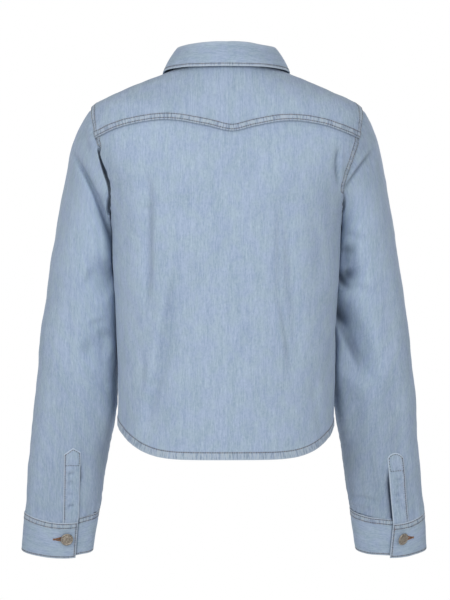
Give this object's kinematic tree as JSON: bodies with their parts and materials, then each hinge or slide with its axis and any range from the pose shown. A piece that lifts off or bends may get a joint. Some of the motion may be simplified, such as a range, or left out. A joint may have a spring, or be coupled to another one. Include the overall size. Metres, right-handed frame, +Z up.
{
  "type": "long-sleeved denim shirt, filled out as worn",
  "caption": "Cropped long-sleeved denim shirt with a pointed back yoke, turned-down collar, buttoned cuffs and shirt-tail hem, filled out as worn and hollow inside.",
  "frame": {"origin": "middle of the neck opening, level with the side neck points, where the wearer's neck and shoulders hold the shirt up", "axes": "+Z up, the wearer faces -Y so the back of the shirt is towards +Y, +X to the wearer's left"},
  "size_m": [0.5575, 0.2355, 0.6884],
  "materials": {
    "light_denim": "matt, washed pale blue cotton twill",
    "aged_metal": "dull antique brass"
  },
  "bodies": {
    "root": {"back": "light_denim", "yoke": "light_denim", "left_front": "light_denim", "right_front": "light_denim", "left_front_band": "light_denim", "right_front_band": "light_denim", "collar_stand": "light_denim", "collar": "light_denim", "left_sleeve": "light_denim", "right_sleeve": "light_denim", "left_placket": "light_denim", "right_placket": "light_denim", "left_cuff": "light_denim", "right_cuff": "light_denim", "collar_button": "aged_metal", "front_button_1": "aged_metal", "front_button_2": "aged_metal", "front_button_3": "aged_metal", "front_button_4": "aged_metal", "front_button_5": "aged_metal", "front_button_6": "aged_metal", "left_cuff_button": "aged_metal", "right_cuff_button": "aged_metal"}
  },
  "joints": []
}
